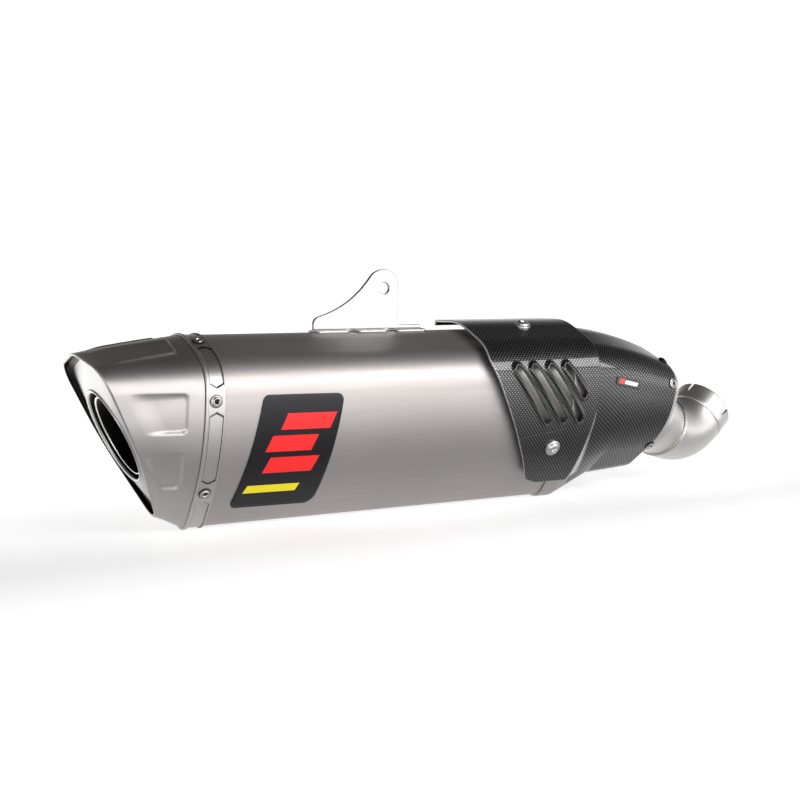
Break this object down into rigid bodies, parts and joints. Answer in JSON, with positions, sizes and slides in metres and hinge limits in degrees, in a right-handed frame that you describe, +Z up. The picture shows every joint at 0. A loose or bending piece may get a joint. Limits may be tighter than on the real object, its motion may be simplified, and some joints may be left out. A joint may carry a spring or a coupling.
{
  "type": "motorcycle slip-on muffler",
  "caption": "Slip-on motorcycle muffler with a six-sided metal sleeve, slashed outlet cap, carbon inlet cap and heat shield, hanger bracket, bent inlet and a pull-out noise insert.",
  "frame": {"origin": "centre of the hanger bracket's bolt hole", "axes": "+X along the muffler from the outlet to the inlet, +Z up when hung, -Y the outer side that carries the shield and the emblem; +Y along the hanger hole"},
  "size_m": [0.5767, 0.1145, 0.1798],
  "materials": {
    "titanium": "brushed titanium sheet, warm grey",
    "titanium_cap": "satin blasted titanium",
    "bright_steel": "polished stainless steel",
    "carbon": "twill carbon fibre under gloss lacquer",
    "tube_dark": "heat-darkened steel tube",
    "emblem": "gloss black plate with a plain geometric device",
    "rubber": "heat-resistant rubber spacer",
    "wool": "stainless steel wool",
    "packing": "glass-fibre packing"
  },
  "bodies": {
    "muffler": {"outlet_cap": "titanium_cap", "outlet_bezel": "bright_steel", "outlet_tube": "tube_dark", "insert_boss": "bright_steel", "insert_screw": "tube_dark", "outlet_bulkhead": "bright_steel", "outlet_band": "titanium_cap", "outlet_band_rivets": "bright_steel", "sleeve": "titanium", "perforated_core": "tube_dark", "steel_wool_wrap": "wool", "glass_packing": "packing", "inlet_bulkhead": "bright_steel", "inlet_duct": "tube_dark", "inlet_can": "bright_steel", "inlet_cap": "carbon", "inlet_cap_rivets": "bright_steel", "inlet_end_plate": "bright_steel", "inlet_neck": "bright_steel", "inlet_bend": "bright_steel", "bend_weld": "bright_steel", "inlet_socket": "bright_steel", "heat_shield": "carbon", "shield_screws": "bright_steel", "shield_spacers": "rubber", "shield_nuts": "bright_steel", "hanger_saddle": "bright_steel", "hanger_bracket": "bright_steel", "emblem_plate": "emblem", "cap_badge": "emblem"},
    "noise_insert": {"insert_collar": "tube_dark", "insert_funnel": "tube_dark", "insert_neck": "tube_dark"}
  },
  "joints": [
    {"name": "insert_slide", "type": "slide", "parent": "muffler", "child": "noise_insert", "axis": [-1, 0, 0], "range_m": [0, 0.14]}
  ]
}
